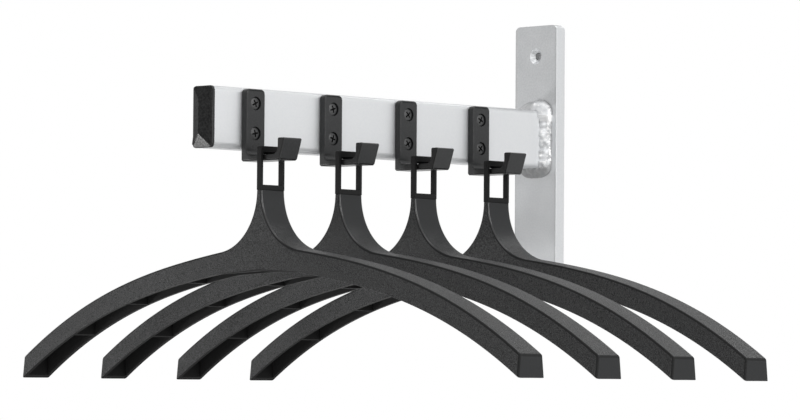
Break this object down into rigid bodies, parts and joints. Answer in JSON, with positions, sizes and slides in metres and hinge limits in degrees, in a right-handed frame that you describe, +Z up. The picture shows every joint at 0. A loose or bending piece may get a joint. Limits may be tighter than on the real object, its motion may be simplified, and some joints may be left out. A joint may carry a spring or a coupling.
{
  "type": "wall coat rack",
  "caption": "Wall-mounted arm of rectangular tube on a screw-on plate, with a row of black hooks that each carry a captive-loop coat hanger.",
  "frame": {"origin": "on the wall plate's back face, level with the tube's centre line and in the middle of the plate's width", "axes": "+Y into the wall, -Y along the tube towards its free end, +X towards the side that carries the hooks, +Z up"},
  "size_m": [0.46, 0.3245, 0.2461],
  "materials": {
    "satin_aluminium_bar": "satin, mottled mill finish",
    "anodised_tube": "smooth matt anodised",
    "weld_metal": "bright rippled weld",
    "cap_plastic": "moulded, fine grain",
    "hook_coating": "satin black coating",
    "black_screw": "blackened steel",
    "loop_plastic": "smooth satin",
    "hanger_plastic": "moulded, grained"
  },
  "bodies": {
    "rack": {"wall_plate": "satin_aluminium_bar", "arm_tube": "anodised_tube", "weld_bead": "weld_metal", "end_cap": "cap_plastic", "coat_hook_1": "hook_coating", "coat_hook_2": "hook_coating", "coat_hook_3": "hook_coating", "coat_hook_4": "hook_coating", "hook_1_upper_screw": "black_screw", "hook_1_lower_screw": "black_screw", "hook_2_upper_screw": "black_screw", "hook_2_lower_screw": "black_screw", "hook_3_upper_screw": "black_screw", "hook_3_lower_screw": "black_screw", "hook_4_upper_screw": "black_screw", "hook_4_lower_screw": "black_screw"},
    "hanger_1": {"hanger_loop_1": "loop_plastic", "hanger_body_1": "hanger_plastic"},
    "hanger_2": {"hanger_loop_2": "loop_plastic", "hanger_body_2": "hanger_plastic"},
    "hanger_3": {"hanger_loop_3": "loop_plastic", "hanger_body_3": "hanger_plastic"},
    "hanger_4": {"hanger_loop_4": "loop_plastic", "hanger_body_4": "hanger_plastic"}
  },
  "joints": [
    {"name": "hanger_1_swing", "type": "hinge", "parent": "rack", "child": "hanger_1", "pos_m": [0.02835, -0.287, -0.0218], "axis": [0, 1, 0], "range_deg": [-60, 60]},
    {"name": "hanger_2_swing", "type": "hinge", "parent": "rack", "child": "hanger_2", "pos_m": [0.02835, -0.217, -0.0218], "axis": [0, 1, 0], "range_deg": [-60, 60]},
    {"name": "hanger_3_swing", "type": "hinge", "parent": "rack", "child": "hanger_3", "pos_m": [0.02835, -0.147, -0.0218], "axis": [0, 1, 0], "range_deg": [-60, 60]},
    {"name": "hanger_4_swing", "type": "hinge", "parent": "rack", "child": "hanger_4", "pos_m": [0.02835, -0.077, -0.0218], "axis": [0, 1, 0], "range_deg": [-60, 60]}
  ]
}
